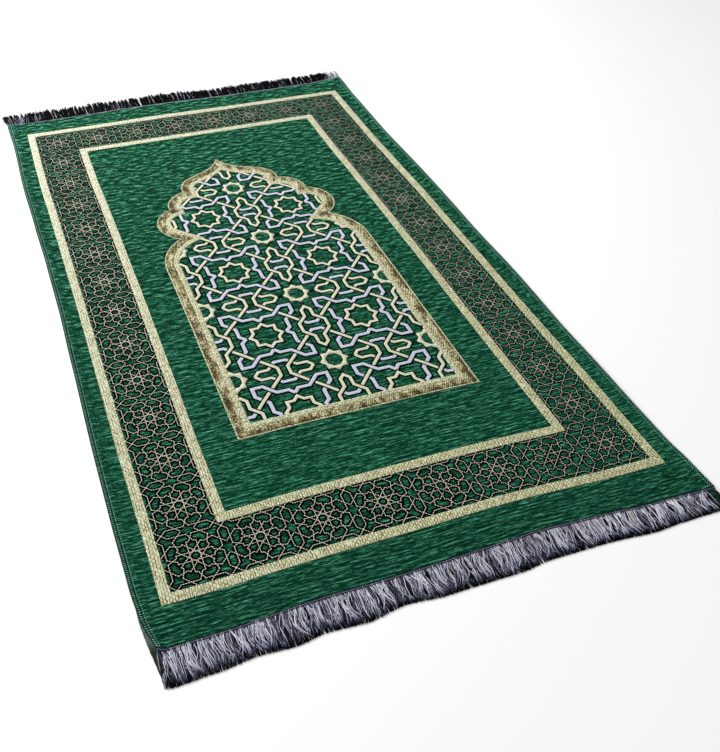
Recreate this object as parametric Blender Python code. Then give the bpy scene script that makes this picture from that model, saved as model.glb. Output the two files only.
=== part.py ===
"""A flat-woven prayer rug with a fringe at each end, laid out on a floor.

Three pieces, each one closed solid: the cloth with its turned side hems, and at each end a heading
strip whose warp ends are gathered into locks.  The rug lies with its foot end towards -Y and its head
end towards +Y; the origin is the middle of its box, on the floor.
"""
import math

import bmesh
import bpy
import numpy as np

MM = 0.001

# Driving dimensions, in metres.
CLOTH_WIDTH = 670 * MM
CLOTH_LENGTH = 1140 * MM
CLOTH_THICK = 2.8 * MM
HEM_WIDTH = 12 * MM            # the side hem is turned under and sewn, so the cloth is double there
HEM_THICK = 4.2 * MM
HEM_STEP = 1.5 * MM            # width of the slope from the hem down to the single cloth
EDGE_ROUND = 1.2 * MM          # width over which an edge rounds off
EDGE_SHARE = 0.55              # share of the thickness that is left at the very edge
GRID_PITCH = 30 * MM           # spacing of the cloth's rows and columns

HEADING_GAP = 0.3 * MM         # the heading strip is parted from the cloth by this
HEADING_DEPTH = 3.0 * MM
HEADING_THICK = 2.4 * MM
FRINGE_LENGTH = 36 * MM        # the longest lock, past the heading
LOCKS_PER_END = 120
LOCK_SHARE = 0.56              # share of its pitch that a lock fills at the root
LOCK_TIP_SHARE = 0.42          # width of the tip over the width of the root
LOCK_THICK = 2.0 * MM
LOCK_TIP_THICK = 1.3 * MM
LOCK_STEPS = np.array((0.30, 0.62, 1.0))  # sections along a lock, as shares of its length
LOCK_DROP = 0.34               # share of its length in which a lock comes down to the floor
LOCK_SHORTEST = 0.86           # the shortest lock over the longest
LOCK_SWAY = 3.0 * MM           # how far whole groups of locks lean sideways
LOCK_STRAY = 0.45 * MM         # how far one lock leans away from its group
SWAY_WAVES = ((3.3, 0.5), (7.1, 0.3), (12.7, 0.2))  # waves along an end, and each one's share
SEED = 7

# How far the sides lie outside the straight cut line: columns y, left, right, in millimetres.
SIDE_SWAY = (
    (570, 3.5, 2.6),
    (490, 1.4, 1.2),
    (340, 3.2, -1.2),
    (220, 0.6, 0.6),
    (110, -1.8, 0.0),
    (-20, -2.6, -0.2),
    (-120, -1.3, 1.3),
    (-310, 0.6, -2.6),
    (-400, 0.5, -3.2),
    (-490, -0.6, -1.3),
    (-530, -2.6, 1.9),
    (-570, -7.0, 3.5),
)
# How far the ends lie outside the straight cut line: columns x, foot, head, in millimetres.
END_SWAY = (
    (-335, 3.5, 1.0),
    (-280, 3.0, 0.0),
    (-130, -1.2, 0.5),
    (60, -2.8, -0.5),
    (100, -4.0, 0.0),
    (180, -1.5, 0.0),
    (255, 2.3, 1.0),
    (335, 4.5, 5.0),
)
SWAY_REACH = 260 * MM          # how far in from an end its sway fades out
# Soft ripples where the cloth does not lie quite flat: columns x, y, half width, half length, height.
RIPPLES = (
    (100, -570, 150, 150, 3.6),
    (-170, -570, 95, 90, 1.8),
    (-335, -20, 60, 165, 2.2),
    (335, -370, 60, 120, 2.0),
    (-335, 340, 60, 110, 1.6),
    (335, 120, 60, 130, 1.6),
    (-60, 570, 170, 90, 2.0),
    (335, 570, 75, 70, 2.4),
)

COLLECTION = "prayer_rug"
GREEN = (0.016, 0.130, 0.066, 1.0)
LILAC = (0.300, 0.290, 0.400, 1.0)
YARN_ROUGHNESS = 0.9
SHARP_ANGLE = math.radians(40)  # edges sharper than this aren't shaded smooth


def eased(table, column, at):
    """Reads a table's column at a place in metres, easing from each row to the next."""
    rows = sorted(table)
    places = [row[0] * MM for row in rows]
    values = [row[column] * MM for row in rows]
    if at <= places[0]:
        return values[0]
    for (low, start), (high, stop) in zip(zip(places, values), zip(places[1:], values[1:])):
        if at <= high:
            share = (at - low) / (high - low)
            return start + (stop - start) * share * share * (3 - 2 * share)
    return values[-1]


def lay(u, v):
    """Where the point (u, v) of the cut cloth lies on the floor, seen from above."""
    across = u / CLOTH_WIDTH + 0.5
    x = u - (1 - across) * eased(SIDE_SWAY, 1, v) + across * eased(SIDE_SWAY, 2, v)
    foot = max(0.0, 1 - (v + CLOTH_LENGTH / 2) / SWAY_REACH)
    head = max(0.0, 1 - (CLOTH_LENGTH / 2 - v) / SWAY_REACH)
    y = v - foot * foot * eased(END_SWAY, 1, u) + head * head * eased(END_SWAY, 2, u)
    return x, y


def lift(u, v):
    """Height of the cloth's underside over the floor: a sum of soft round-topped ripples."""
    height = 0.0
    for x, y, half_width, half_length, top in RIPPLES:
        away = ((u - x * MM) / (half_width * MM)) ** 2 + ((v - y * MM) / (half_length * MM)) ** 2
        if away < 1:
            height += top * MM * (1 - away) ** 2
    return height


def thickness(u, v):
    """Single cloth inside, double along the side hems, and rounded off at every edge."""
    from_side = CLOTH_WIDTH / 2 - abs(u)
    from_end = CLOTH_LENGTH / 2 - abs(v)
    slope = min(1.0, max(0.0, (HEM_WIDTH + HEM_STEP - from_side) / HEM_STEP))
    full = CLOTH_THICK + slope * (HEM_THICK - CLOTH_THICK)
    edge = min(1.0, from_side / EDGE_ROUND, from_end / EDGE_ROUND)
    return full * (EDGE_SHARE + (1 - EDGE_SHARE) * math.sqrt(max(0.0, edge * (2 - edge))))


def stations(size, rim):
    """Places along a side of the cloth: the steps of its rim at both edges, and even ones between."""
    half = size / 2
    inner = half - rim[-1]
    count = round(2 * inner / GRID_PITCH)
    middle = np.linspace(-inner, inner, count + 1)
    edge = [half - step for step in rim[:-1]]
    return [-place for place in edge] + list(middle) + edge[::-1]


def gather(name, bm, colour):
    """Makes one named object of a mesh, with its own material."""
    bmesh.ops.recalc_face_normals(bm, faces=bm.faces)
    mesh = bpy.data.meshes.new(name)
    bm.to_mesh(mesh)
    bm.free()
    mesh.shade_smooth()
    mesh.set_sharp_from_angle(angle=SHARP_ANGLE)
    material = bpy.data.materials.new(name + "_yarn")
    material.use_nodes = True
    shader = material.node_tree.nodes["Principled BSDF"]
    shader.inputs["Base Color"].default_value = colour
    shader.inputs["Roughness"].default_value = YARN_ROUGHNESS
    shader.inputs["Metallic"].default_value = 0.0
    mesh.materials.append(material)
    piece = bpy.data.objects.new(name, mesh)
    bpy.data.collections[COLLECTION].objects.link(piece)
    return piece


def strip_grid(columns, rows):
    """A flat grid of faces whose lines run through the given columns and rows."""
    bm = bmesh.new()
    bmesh.ops.create_grid(bm, x_segments=len(columns) - 1, y_segments=len(rows) - 1, size=0.5)
    for vert in bm.verts:
        column = round((vert.co.x + 0.5) * (len(columns) - 1))
        row = round((vert.co.y + 0.5) * (len(rows) - 1))
        vert.co = (columns[column], rows[row], 0.0)
    return bm


def thickened(bm):
    """Gives an open grid a second layer and walls; returns the second layer's points."""
    made = bmesh.ops.extrude_face_region(bm, geom=bm.faces[:])
    return [item for item in made["geom"] if isinstance(item, bmesh.types.BMVert)]


def cloth_columns():
    """Where the cloth's lines of points run along it: close together over the hems, then even."""
    return stations(CLOTH_WIDTH, (0.0, EDGE_ROUND / 3, EDGE_ROUND, HEM_WIDTH, HEM_WIDTH + HEM_STEP))


def make_cloth():
    """The cloth: a grid in cut sizes, given its thickness and then laid on the floor."""
    rows = stations(CLOTH_LENGTH, (0.0, EDGE_ROUND / 3, EDGE_ROUND))
    bm = strip_grid(cloth_columns(), rows)
    for vert in thickened(bm):
        vert.co.z = thickness(vert.co.x, vert.co.y)
    for vert in bm.verts:
        u, v, thick = vert.co
        vert.co = (*lay(u, v), lift(u, v) + thick)
    return gather("rug_cloth", bm, GREEN)


def end_line(u, end):
    """Point of the cloth's end beside u, on the straight stretches between the cloth's columns."""
    columns = cloth_columns()
    v = end * CLOTH_LENGTH / 2
    points = np.array([(*lay(column, v), lift(column, v)) for column in columns])
    return [float(np.interp(u, columns, points[:, axis])) for axis in range(3)]


def lock_places():
    """Middle of each lock along the cut end, and half the width of its root."""
    pitch = CLOTH_WIDTH / LOCKS_PER_END
    return (np.arange(LOCKS_PER_END) + 0.5) * pitch - CLOTH_WIDTH / 2, LOCK_SHARE * pitch / 2


def lock_leans(rng):
    """Sideways reach and length of each lock: groups lean together, single locks stray."""
    along = (np.arange(LOCKS_PER_END) + 0.5) / LOCKS_PER_END
    waves = np.zeros(LOCKS_PER_END)
    for turns, share in SWAY_WAVES:
        waves += share * np.sin(2 * math.pi * (turns * along + rng.random()))
    reach = LOCK_SWAY * waves + LOCK_STRAY * rng.uniform(-1, 1, LOCKS_PER_END)
    length = FRINGE_LENGTH * rng.uniform(LOCK_SHORTEST, 1.0, LOCKS_PER_END)
    length[LOCKS_PER_END // 2] = FRINGE_LENGTH
    return reach, length


def draw_out(bm, face, sections):
    """Carries a four-sided face through sections of x, y, lowest z, highest z and half width."""
    for x, y, low, high, half_width in sections:
        face = bmesh.ops.extrude_discrete_faces(bm, faces=[face])["faces"][0]
        by_height = sorted(face.verts, key=lambda corner: corner.co.z)
        for pair, z in ((by_height[:2], low), (by_height[2:], high)):
            left, right = sorted(pair, key=lambda corner: corner.co.x)
            left.co = (x - half_width, y, z)
            right.co = (x + half_width, y, z)


def make_heading(end):
    """The heading strip past one end of the cloth, and the faces that its locks are drawn out of.

    It starts as its own outer wall, in the locks' columns, and goes in to the cloth from there.
    """
    middles, half_root = lock_places()
    edges = np.column_stack((middles - half_root, middles + half_root)).ravel()
    bm = strip_grid([-CLOTH_WIDTH / 2, *edges, CLOTH_WIDTH / 2], [0.0, HEADING_THICK])
    inner = set(thickened(bm))
    outer_wall = [face for face in bm.faces if not inner.intersection(face.verts)]
    outer_wall.sort(key=lambda face: face.calc_center_median().x)
    for vert in bm.verts:
        height = vert.co.y
        x, y, rise = end_line(vert.co.x, end)
        out = HEADING_GAP + (0.0 if vert in inner else HEADING_DEPTH)
        vert.co = (x, y + end * out, rise + height)
    return bm, outer_wall[1::2]


def make_fringe(name, end, seed):
    """A heading strip with its locks, which come down to the floor and lie level on it.

    end is -1 for the foot and 1 for the head of the rug.
    """
    bm, roots = make_heading(end)
    middles, half_root = lock_places()
    reaches, lengths = lock_leans(np.random.default_rng(seed))
    half_widths = half_root * (1 + (LOCK_TIP_SHARE - 1) * LOCK_STEPS)
    thicks = LOCK_THICK + (LOCK_TIP_THICK - LOCK_THICK) * LOCK_STEPS
    falls = np.maximum(0.0, 1 - LOCK_STEPS / LOCK_DROP) ** 2
    for root, middle, reach, length in zip(roots, middles, reaches, lengths):
        x, y, rise = end_line(middle, end)
        y += end * (HEADING_GAP + HEADING_DEPTH)
        lows = rise * falls
        draw_out(bm, root, zip(x + reach * LOCK_STEPS**2, y + end * length * LOCK_STEPS,
                               lows, lows + thicks, half_widths))
    return gather(name, bm, LILAC)


def main():
    for old in list(bpy.data.objects):
        bpy.data.objects.remove(old)
    collection = bpy.data.collections.new(COLLECTION)
    bpy.context.scene.collection.children.link(collection)
    make_cloth()
    make_fringe("fringe_foot", -1, SEED)
    make_fringe("fringe_head", 1, SEED + 1)


main()
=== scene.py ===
# %% [markdown]
# # A woven prayer rug, laid out on a floor
#
# The real rug is one cloth, woven in chenille and flat yarns on a jacquard loom. Its pattern is a niche
# filled with star interlace, a lattice border between two cream frames, and a plain green ground with
# slubs. Its long sides are hemmed, and its warp ends are left as a fringe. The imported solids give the
# cloth and the two fringes at their real sizes, and this script dresses them.

# %% Load the frame
import math

import bpy
import numpy as np
from mathutils import Euler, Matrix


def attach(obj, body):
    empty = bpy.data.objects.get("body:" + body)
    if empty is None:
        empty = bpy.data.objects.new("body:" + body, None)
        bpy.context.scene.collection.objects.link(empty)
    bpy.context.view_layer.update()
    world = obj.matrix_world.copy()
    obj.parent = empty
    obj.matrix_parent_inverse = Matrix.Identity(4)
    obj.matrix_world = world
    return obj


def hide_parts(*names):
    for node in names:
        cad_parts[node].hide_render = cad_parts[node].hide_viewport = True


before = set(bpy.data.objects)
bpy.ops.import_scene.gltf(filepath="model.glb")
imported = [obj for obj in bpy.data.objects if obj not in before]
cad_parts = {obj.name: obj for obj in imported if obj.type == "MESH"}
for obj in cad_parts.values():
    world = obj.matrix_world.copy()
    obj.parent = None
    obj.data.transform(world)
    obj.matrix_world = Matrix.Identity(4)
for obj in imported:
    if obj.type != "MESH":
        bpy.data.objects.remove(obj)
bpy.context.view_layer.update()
MM = 0.001

# %% [markdown]
# ## The camera and the light
#
# The camera stands where the photograph was taken from: at the rug's foot, to its left, looking down at
# 43 degrees. Its place was worked out from the four corners of the outer cream frame. It comes first, so
# that every later step can be looked at. A pale floor, a bright sky and two large soft lamps make a
# plain studio.

# %% Camera
CAMERA_PLACE = (-0.36597, -1.01777, 0.77864)
CAMERA_BEARING = 19.364          # degrees to the right of the rug's length
CAMERA_DOWN = 43.088             # degrees below the horizon
CAMERA_ROLL = 0.7705             # degrees
PICTURE_HEIGHT = 36.0            # mm
LENS = 41.497                    # mm, for a picture of that height
SHIFT = 0.1195

camera = bpy.data.objects.new("camera", bpy.data.cameras.new("camera"))
bpy.context.scene.collection.objects.link(camera)
bpy.context.scene.camera = camera
camera.data.lens = LENS
camera.data.sensor_width = PICTURE_HEIGHT
camera.data.shift_x = SHIFT
camera.data.clip_start = 0.01
camera.location = CAMERA_PLACE
turn = Euler((math.radians(90 - CAMERA_DOWN), 0.0, math.radians(-CAMERA_BEARING)), "XYZ").to_matrix()
roll = Euler((0.0, 0.0, math.radians(CAMERA_ROLL)), "XYZ").to_matrix()
camera.rotation_euler = (turn @ roll).to_euler()
print("camera at", CAMERA_PLACE)

# %% Floor, sky and lamps
FLOOR_SIDE = 14.0
FLOOR_DROP = 0.3 * MM            # keeps the floor clear of the undersides that rest on it
FLOOR_COLOUR = (0.86, 0.86, 0.86, 1.0)
FLOOR_GLOW = 0.24
SKY_STRENGTH = 0.34
WHITE = (1.0, 1.0, 1.0, 1.0)
LAMPS = (                        # name, place, point that it faces, side in metres, power in watts
    ("window_lamp", (-1.25, 1.6, 1.5), (-0.1, 0.2, 0), 1.4, 88),
    ("front_lamp", (0.6, -2.4, 2.4), (0, 0, 0), 2.5, 5),
)


def lamp(name, place, aim, side, power):
    """A square lamp at a place, facing a point."""
    light = bpy.data.lights.new(name, "AREA")
    light.size = side
    light.energy = power
    holder = bpy.data.objects.new(name, light)
    bpy.context.scene.collection.objects.link(holder)
    holder.location = place
    way = np.subtract(aim, place)
    holder.rotation_euler = (math.acos(-way[2] / np.linalg.norm(way)), 0.0,
                             math.atan2(way[1], way[0]) - math.pi / 2)


floor_mesh = bpy.data.meshes.new("floor")
floor_corners = np.array([(-1, -1), (1, -1), (1, 1), (-1, 1)]) * FLOOR_SIDE / 2
floor_mesh.from_pydata([(x, y, -FLOOR_DROP) for x, y in floor_corners], [], [(0, 1, 2, 3)])
floor = bpy.data.objects.new("floor", floor_mesh)
pale_floor = bpy.data.materials.new("pale_floor")
pale_floor.use_nodes = True
paint = pale_floor.node_tree.nodes["Principled BSDF"].inputs
paint["Base Color"].default_value = FLOOR_COLOUR
paint["Roughness"].default_value = 0.7
paint["Emission Color"].default_value = WHITE
paint["Emission Strength"].default_value = FLOOR_GLOW
floor_mesh.materials.append(pale_floor)
bpy.context.scene.collection.objects.link(floor)
sky = bpy.data.worlds.new("studio")
sky.use_nodes = True
sky.node_tree.nodes["Background"].inputs["Color"].default_value = WHITE
sky.node_tree.nodes["Background"].inputs["Strength"].default_value = SKY_STRENGTH
bpy.context.scene.world = sky
for row in LAMPS:
    lamp(*row)
bpy.context.scene.view_settings.view_transform = "Standard"
print("studio set, with", len(LAMPS), "lamps")

# %% [markdown]
# ## How the cloth lies
#
# The loom makes a true rectangle, but the rug lies with slightly swayed edges and soft ripples. The CAD
# cloth was bent by three functions: where a point of the cut cloth lies, how far it is lifted, and how
# thick the cloth is there. They are repeated here for whole arrays, so that every band, ribbon and
# stitch can be drawn on the flat cut cloth and then laid down with it.

# %% Cut sizes and sways, the same as in the solids
CLOTH_WIDTH = 670 * MM
CLOTH_LENGTH = 1140 * MM
CLOTH_THICK = 2.8 * MM
HEM_WIDTH = 12 * MM
HEM_THICK = 4.2 * MM
HEM_STEP = 1.5 * MM
EDGE_ROUND = 1.2 * MM
EDGE_SHARE = 0.55
SWAY_REACH = 260 * MM
SIDE_SWAY = np.array([           # columns y, left, right, in millimetres
    (-570, -7.0, 3.5), (-530, -2.6, 1.9), (-490, -0.6, -1.3), (-400, 0.5, -3.2), (-310, 0.6, -2.6),
    (-120, -1.3, 1.3), (-20, -2.6, -0.2), (110, -1.8, 0.0), (220, 0.6, 0.6), (340, 3.2, -1.2),
    (490, 1.4, 1.2), (570, 3.5, 2.6)]) * MM
END_SWAY = np.array([            # columns x, foot, head, in millimetres
    (-335, 3.5, 1.0), (-280, 3.0, 0.0), (-130, -1.2, 0.5), (60, -2.8, -0.5), (100, -4.0, 0.0),
    (180, -1.5, 0.0), (255, 2.3, 1.0), (335, 4.5, 5.0)]) * MM
RIPPLES = np.array([             # columns x, y, half width, half length, height, in millimetres
    (100, -570, 150, 150, 3.6), (-170, -570, 95, 90, 1.8), (-335, -20, 60, 165, 2.2),
    (335, -370, 60, 120, 2.0), (-335, 340, 60, 110, 1.6), (335, 120, 60, 130, 1.6),
    (-60, 570, 170, 90, 2.0), (335, 570, 75, 70, 2.4)]) * MM
print("cut cloth, mm:", round(CLOTH_WIDTH / MM), "by", round(CLOTH_LENGTH / MM))

# %% Laying the cut cloth down
CURL = 5.0 * MM                  # how far the left foot corner is rolled in, which only shows here
CURL_REACH = (26 * MM, 60 * MM)  # how far in from the corner it is rolled, across and along


def smooth(share):
    """Eases from 0 to 1: three times the square less twice the cube."""
    share = np.clip(share, 0, 1)
    return share * share * (3 - 2 * share)


def eased(table, column, at):
    """Reads a table's column at places given in metres, easing from each row to the next."""
    row = np.clip(np.searchsorted(table[:, 0], at, side="right") - 1, 0, len(table) - 2)
    low, high = table[row], table[row + 1]
    share = smooth((at - low[..., 0]) / (high - low)[..., 0])
    return low[..., column] + (high - low)[..., column] * share


def lay(u, v):
    """Where points (u, v) of the cut cloth lie: sides and ends are moved out by their sways.

    At the left foot corner the cloth also moves in by its curl, which fades as powers of how near the
    two edges are.
    """
    across = u / CLOTH_WIDTH + 0.5
    x = u - (1 - across) * eased(SIDE_SWAY, 1, v) + across * eased(SIDE_SWAY, 2, v)
    foot = np.clip(1 - (v + CLOTH_LENGTH / 2) / SWAY_REACH, 0, None)
    head = np.clip(1 - (CLOTH_LENGTH / 2 - v) / SWAY_REACH, 0, None)
    y = v - foot**2 * eased(END_SWAY, 1, u) + head**2 * eased(END_SWAY, 2, u)
    side = np.clip(1 - (u + CLOTH_WIDTH / 2) / CURL_REACH[0], 0, 1)
    end = np.clip(1 - (v + CLOTH_LENGTH / 2) / CURL_REACH[1], 0, 1)
    return x + CURL * (side * end) ** 2, y + CURL * side**4 * end**6


def lift(u, v):
    """Height of the underside over the floor: the sum of round-topped ripples, (1 - away) squared."""
    height = np.zeros(np.broadcast(u, v).shape)
    for x, y, half_width, half_length, top in RIPPLES:
        away = ((u - x) / half_width) ** 2 + ((v - y) / half_length) ** 2
        height += top * np.clip(1 - away, 0, None) ** 2
    return height


def thickness(u, v):
    """Single cloth inside, double along the side hems, rounded off at every edge as a quarter circle."""
    from_side = CLOTH_WIDTH / 2 - np.abs(u)
    from_end = CLOTH_LENGTH / 2 - np.abs(v)
    slope = smooth((HEM_WIDTH + HEM_STEP - from_side) / HEM_STEP)
    full = CLOTH_THICK + slope * (HEM_THICK - CLOTH_THICK)
    edge = np.clip(np.minimum(from_side, from_end) / EDGE_ROUND, 0, 1)
    return full * (EDGE_SHARE + (1 - EDGE_SHARE) * np.sqrt(edge * (2 - edge)))


def raised(x, y, u, v, above):
    """Points over (x, y): the height is the lift and thickness at (u, v) of the cut cloth, and above."""
    return np.stack(np.broadcast_arrays(x, y, lift(u, v) + thickness(u, v) + above), axis=-1)


def on_cloth(u, v, above=0.0):
    """Points of the laid rug that stand a given height above its upper face."""
    x, y = lay(u, v)
    return raised(x, y, u, v, above)


cut_corners = np.array([(-1, -1), (1, -1), (1, 1), (-1, 1)]) * (CLOTH_WIDTH / 2, CLOTH_LENGTH / 2)
print("corners lie at, mm:", np.round(np.column_stack(lay(*cut_corners.T)) / MM, 1).tolist())

# %% [markdown]
# The pattern needs a second way of being laid down. Its woven lines don't sway with the rims, but they
# do drift from true by up to 6 mm, because a loom's tension is never quite even. A table holds the drift
# that was measured at thirteen places along the rug. A line is first moved by the drift, and then its
# height is read from the point of the cloth that lies there.

# %% Laying the pattern down
DRIFT_MIDDLE = 75 * MM           # half the width within which the drift is that of the middle
DRIFT_FADE = 200 * MM            # width over which it turns into that of the sides
# Columns: y, drift to the left at the left and right side, drift to the foot in the middle and at the
# sides, all in millimetres.
DRIFT = np.array([
    (-525, 0.6, -1.0, -2.2, 1.8), (-475, 0.6, -1.0, -2.0, 2.0), (-402, 0.8, -0.8, -1.4, 3.2),
    (-300, 1.5, -0.6, 0.2, 4.8), (-183, 0.7, -1.1, 2.5, 6.0), (-77, 0.4, -2.2, 3.2, 5.1),
    (0, 0.4, -2.2, 3.1, 4.3), (110, 1.0, -2.0, 2.3, 2.8), (228, 1.9, -0.7, 1.8, 1.6),
    (329, 3.5, 0.4, 1.2, 1.0), (402, 3.1, 0.0, 0.2, 0.0), (475, 1.8, -0.5, -0.6, -0.4),
    (525, 1.0, -0.8, -0.8, -0.6)]) * MM


def drifted(x, y):
    """Moves the pattern's true places by the drift, eased between the middle and the sides."""
    side = smooth((np.abs(x) - DRIFT_MIDDLE) / DRIFT_FADE)
    across = 0.5 + 0.5 * np.sign(x) * side
    leftward = eased(DRIFT, 1, y) * (1 - across) + eased(DRIFT, 2, y) * across
    middle, sides = eased(DRIFT, 3, y), eased(DRIFT, 4, y)
    return x - leftward, y - middle - side * (sides - middle)


def on_rug(x, y, above=0.0):
    """Points of the pattern: as on_cloth, for true places of the pattern.

    The point of the cut cloth that lies there is found by undoing lay: five times, a guess moves by
    what it still misses.
    """
    x, y = drifted(x, y)
    u, v = x, y
    for _ in range(5):
        there = lay(u, v)
        u, v = u + x - there[0], v + y - there[1]
    return raised(x, y, u, v, above)


print("largest drift, mm:", round(np.abs(DRIFT[:, 1:]).max() / MM, 1))

# %% [markdown]
# ## Turning arrays into meshes
#
# Every piece is a grid of points worked out at once. A strip is such a grid with one row for each point
# of a path and one column for each point of a profile. One helper numbers the faces of many strips and
# hands them to Blender in single calls, which is much quicker than adding faces one by one. It also
# keeps, for each point, how far it lies along and across its strip, so that a weave can follow it.


def strip_faces(strips, rows, columns, first):
    """Point numbers of the four-sided faces of equal strips, in order strip, row, column."""
    grid = first + np.arange(strips * rows * columns).reshape(strips, rows, columns)
    return np.stack([grid[:, :-1, :-1], grid[:, :-1, 1:], grid[:, 1:, 1:], grid[:, 1:, :-1]],
                    axis=-1).reshape(-1, 4)


def woven_piece(name, grids, material, runs=None, tones=None):
    """One object from grids of points shaped (strips, rows, columns, 3), riding on the rug.

    runs gives each point's way along and across its strip, and tones a shade for each point.
    """
    points, faces, first = [], [], 0
    for grid in grids:
        strips, rows, columns = grid.shape[:3]
        points.append(grid.reshape(-1, 3))
        faces.append(strip_faces(strips, rows, columns, first))
        first += strips * rows * columns
    points, faces = np.concatenate(points), np.concatenate(faces)
    mesh = bpy.data.meshes.new(name)
    mesh.vertices.add(len(points))
    mesh.vertices.foreach_set("co", points.astype(np.float32).ravel())
    mesh.loops.add(faces.size)
    mesh.loops.foreach_set("vertex_index", faces.astype(np.int32).ravel())
    mesh.polygons.add(len(faces))
    mesh.polygons.foreach_set("loop_start", np.arange(0, faces.size, 4, dtype=np.int32))
    mesh.update(calc_edges=True)
    mesh.shade_smooth()
    if runs is not None:
        ways = np.concatenate([run.reshape(-1, 2) for run in runs])
        ways = np.column_stack((ways, np.zeros(len(ways)))).astype(np.float32)
        mesh.attributes.new("run", "FLOAT_VECTOR", "POINT").data.foreach_set("vector", ways.ravel())
    if tones is not None:
        shades = np.concatenate([tone.ravel() for tone in tones]).astype(np.float32)
        mesh.attributes.new("tone", "FLOAT", "POINT").data.foreach_set("value", shades)
    piece = bpy.data.objects.new(name, mesh)
    bpy.context.scene.collection.objects.link(piece)
    mesh.materials.append(material)
    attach(piece, "root")
    print(f"{name}: {len(faces) * 2} triangles")
    return piece


def woven_strips(name, strips, material):
    """One object from strips, each a pair: a grid of points and their ways along and across."""
    grids, runs = zip(*strips)
    return woven_piece(name, grids, material, runs=runs)


print("ready to make pieces")

# %% Strips along paths
SHARPEST = 0.35                  # keeps a mitre at a sharp corner from growing too long


def finer(path, step):
    """Adds points along a path so that no stretch is longer than a step; keeps its own points."""
    lengths = np.linalg.norm(np.diff(path[:, :2], axis=0), axis=1)
    counts = np.maximum(1, np.ceil(lengths / step).astype(int))
    at = np.concatenate([np.arange(count) / count + number for number, count in enumerate(counts)]
                        + [[len(path) - 1.0]])
    stations = np.arange(len(path))
    return np.column_stack([np.interp(at, stations, column) for column in path.T])


def mitres(path, closed):
    """Sideways steps of unit width at each point of flat paths (..., points, 2), mitred at corners.

    The step is the sum of the ways before and after, turned by a right angle and divided by one more
    than the cosine of the bend.
    """
    ahead = np.diff(path, axis=-2)
    ahead = ahead / np.linalg.norm(ahead, axis=-1, keepdims=True)
    first, last = ahead[..., :1, :], ahead[..., -1:, :]
    if closed:
        first, last = last, first
    before = np.concatenate([first, ahead], axis=-2)
    after = np.concatenate([ahead, last], axis=-2)
    summed = before + after
    side = np.stack([-summed[..., 1], summed[..., 0]], axis=-1)
    return side / (1 + np.sum(before * after, axis=-1, keepdims=True)).clip(SHARPEST)


def ribbon(path, profile, above=0.0, closed=False, cut=False, widths=1.0):
    """Carries a profile of (sideways, height) rows along flat paths, and lays it on the cloth.

    Returns the grid of points and each point's way along and across. above is a height, or one for
    each point of the path. cut is for paths on the cut cloth, which sway with its rims. widths makes
    the profile wider or narrower.
    """
    profile = np.asarray(profile, float)
    sideways = mitres(path, closed) * widths
    spots = path[..., :, None, :] + profile[:, 0][:, None] * sideways[..., :, None, :]
    heights = np.asarray(above)[..., None] + profile[:, 1]
    grid = (on_cloth if cut else on_rug)(spots[..., 0], spots[..., 1], heights)
    steps = np.linalg.norm(np.diff(path, axis=-2), axis=-1)
    along = np.concatenate([np.zeros(steps.shape[:-1] + (1,)), np.cumsum(steps, axis=-1)], axis=-1)
    run = np.stack(np.broadcast_arrays(along[..., None], profile[:, 0]), axis=-1)
    shape = (-1,) + grid.shape[-3:-1]
    return grid.reshape(shape + (3,)), run.reshape(shape + (2,))


def crowned(width, crown, skirt=0.15 * MM):
    """Profile of a plump yarn band: a low round top, and edges that dip into what lies below."""
    rim = 0.97                   # share of the half width where the top ends
    share = np.array([1.0, rim, 0.6, 0.0, -0.6, -rim, -1.0])
    heights = crown * np.sqrt(1 - np.minimum(np.abs(share), rim) ** 2)
    heights[[0, -1]] = -skirt
    return np.column_stack((share * width / 2, heights))


print("ready to carry profiles along paths")

# %% [markdown]
# ## Yarn finishes
#
# Each yarn is a small tree of shader nodes. Noise that is stretched along the weft gives slubs, and
# sines along or across a strip give the ribs of the weave, for both colour and bump. Colours that vary
# go through a colour ramp. Sheen stays a plain number on the shader, because it is the same all over.

# %% Shader helpers
def linear(red, green, blue):
    """The shader's colour for a colour as a screen shows it, 0 to 255."""
    screen = np.array([red, green, blue]) / 255
    return tuple(np.where(screen <= 0.04045, screen / 12.92, ((screen + 0.055) / 1.055) ** 2.4).tolist())


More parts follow.
